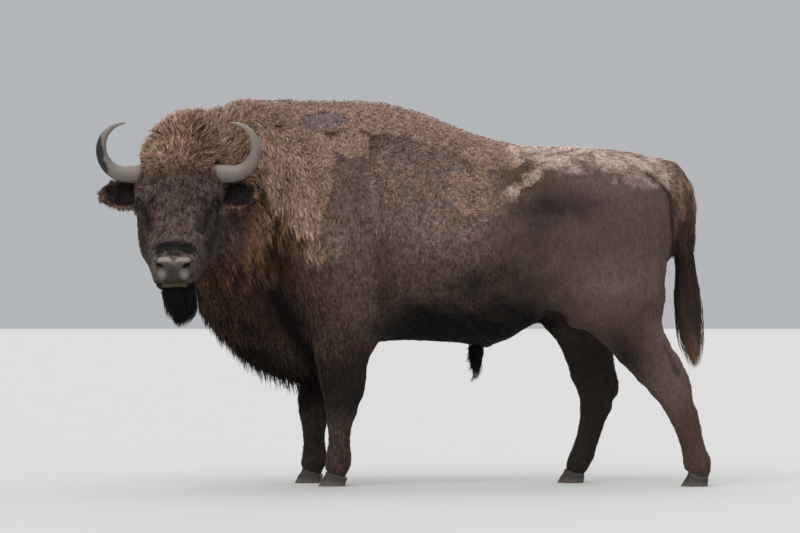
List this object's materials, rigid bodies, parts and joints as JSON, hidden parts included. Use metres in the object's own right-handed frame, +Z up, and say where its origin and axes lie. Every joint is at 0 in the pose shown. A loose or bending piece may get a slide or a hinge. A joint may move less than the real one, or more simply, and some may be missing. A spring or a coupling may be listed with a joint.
{
  "type": "wisent bull, life-size animal model",
  "caption": "Life-size European bison bull standing with its head turned to its left, with humped shoulders, curved horns, beard, cloven hooves and tufted tail.",
  "frame": {"origin": "on the ground, under the middle of the animal's box", "axes": "+Z up, the body faces -X, and its left side, towards which the head is turned, faces -Y"},
  "size_m": [2.742, 0.892, 1.7405],
  "materials": {
    "coat": "short brown-grey hair, with paler wool shed in patches on the back",
    "mane": "long ginger to dark brown hair",
    "face": "short dark hair, bare grey skin on the nose",
    "dark_hair": "long black-brown hair",
    "horn": "grey horn with dark patches, satin",
    "hoof": "dark hoof horn, satin",
    "eye": "dark brown glass eye, polished"
  },
  "bodies": {
    "root": {"trunk": "coat", "neck": "mane", "head": "face", "muzzle": "face", "beard": "dark_hair", "horn_left": "horn", "horn_right": "horn", "eye_left": "eye", "eye_right": "eye", "ear_left": "dark_hair", "ear_right": "dark_hair", "sheath_tuft": "dark_hair", "tail_dock": "mane", "tail_switch": "dark_hair", "foreleg_left_upper": "coat", "foreleg_left_lower": "coat", "forehoof_left_inner": "hoof", "forehoof_left_outer": "hoof", "foreleg_right_upper": "coat", "foreleg_right_lower": "coat", "forehoof_right_inner": "hoof", "forehoof_right_outer": "hoof", "hindleg_left_upper": "coat", "hindleg_left_lower": "coat", "hindhoof_left_inner": "hoof", "hindhoof_left_outer": "hoof", "hindleg_right_upper": "coat", "hindleg_right_lower": "coat", "hindhoof_right_inner": "hoof", "hindhoof_right_outer": "hoof"}
  },
  "joints": []
}
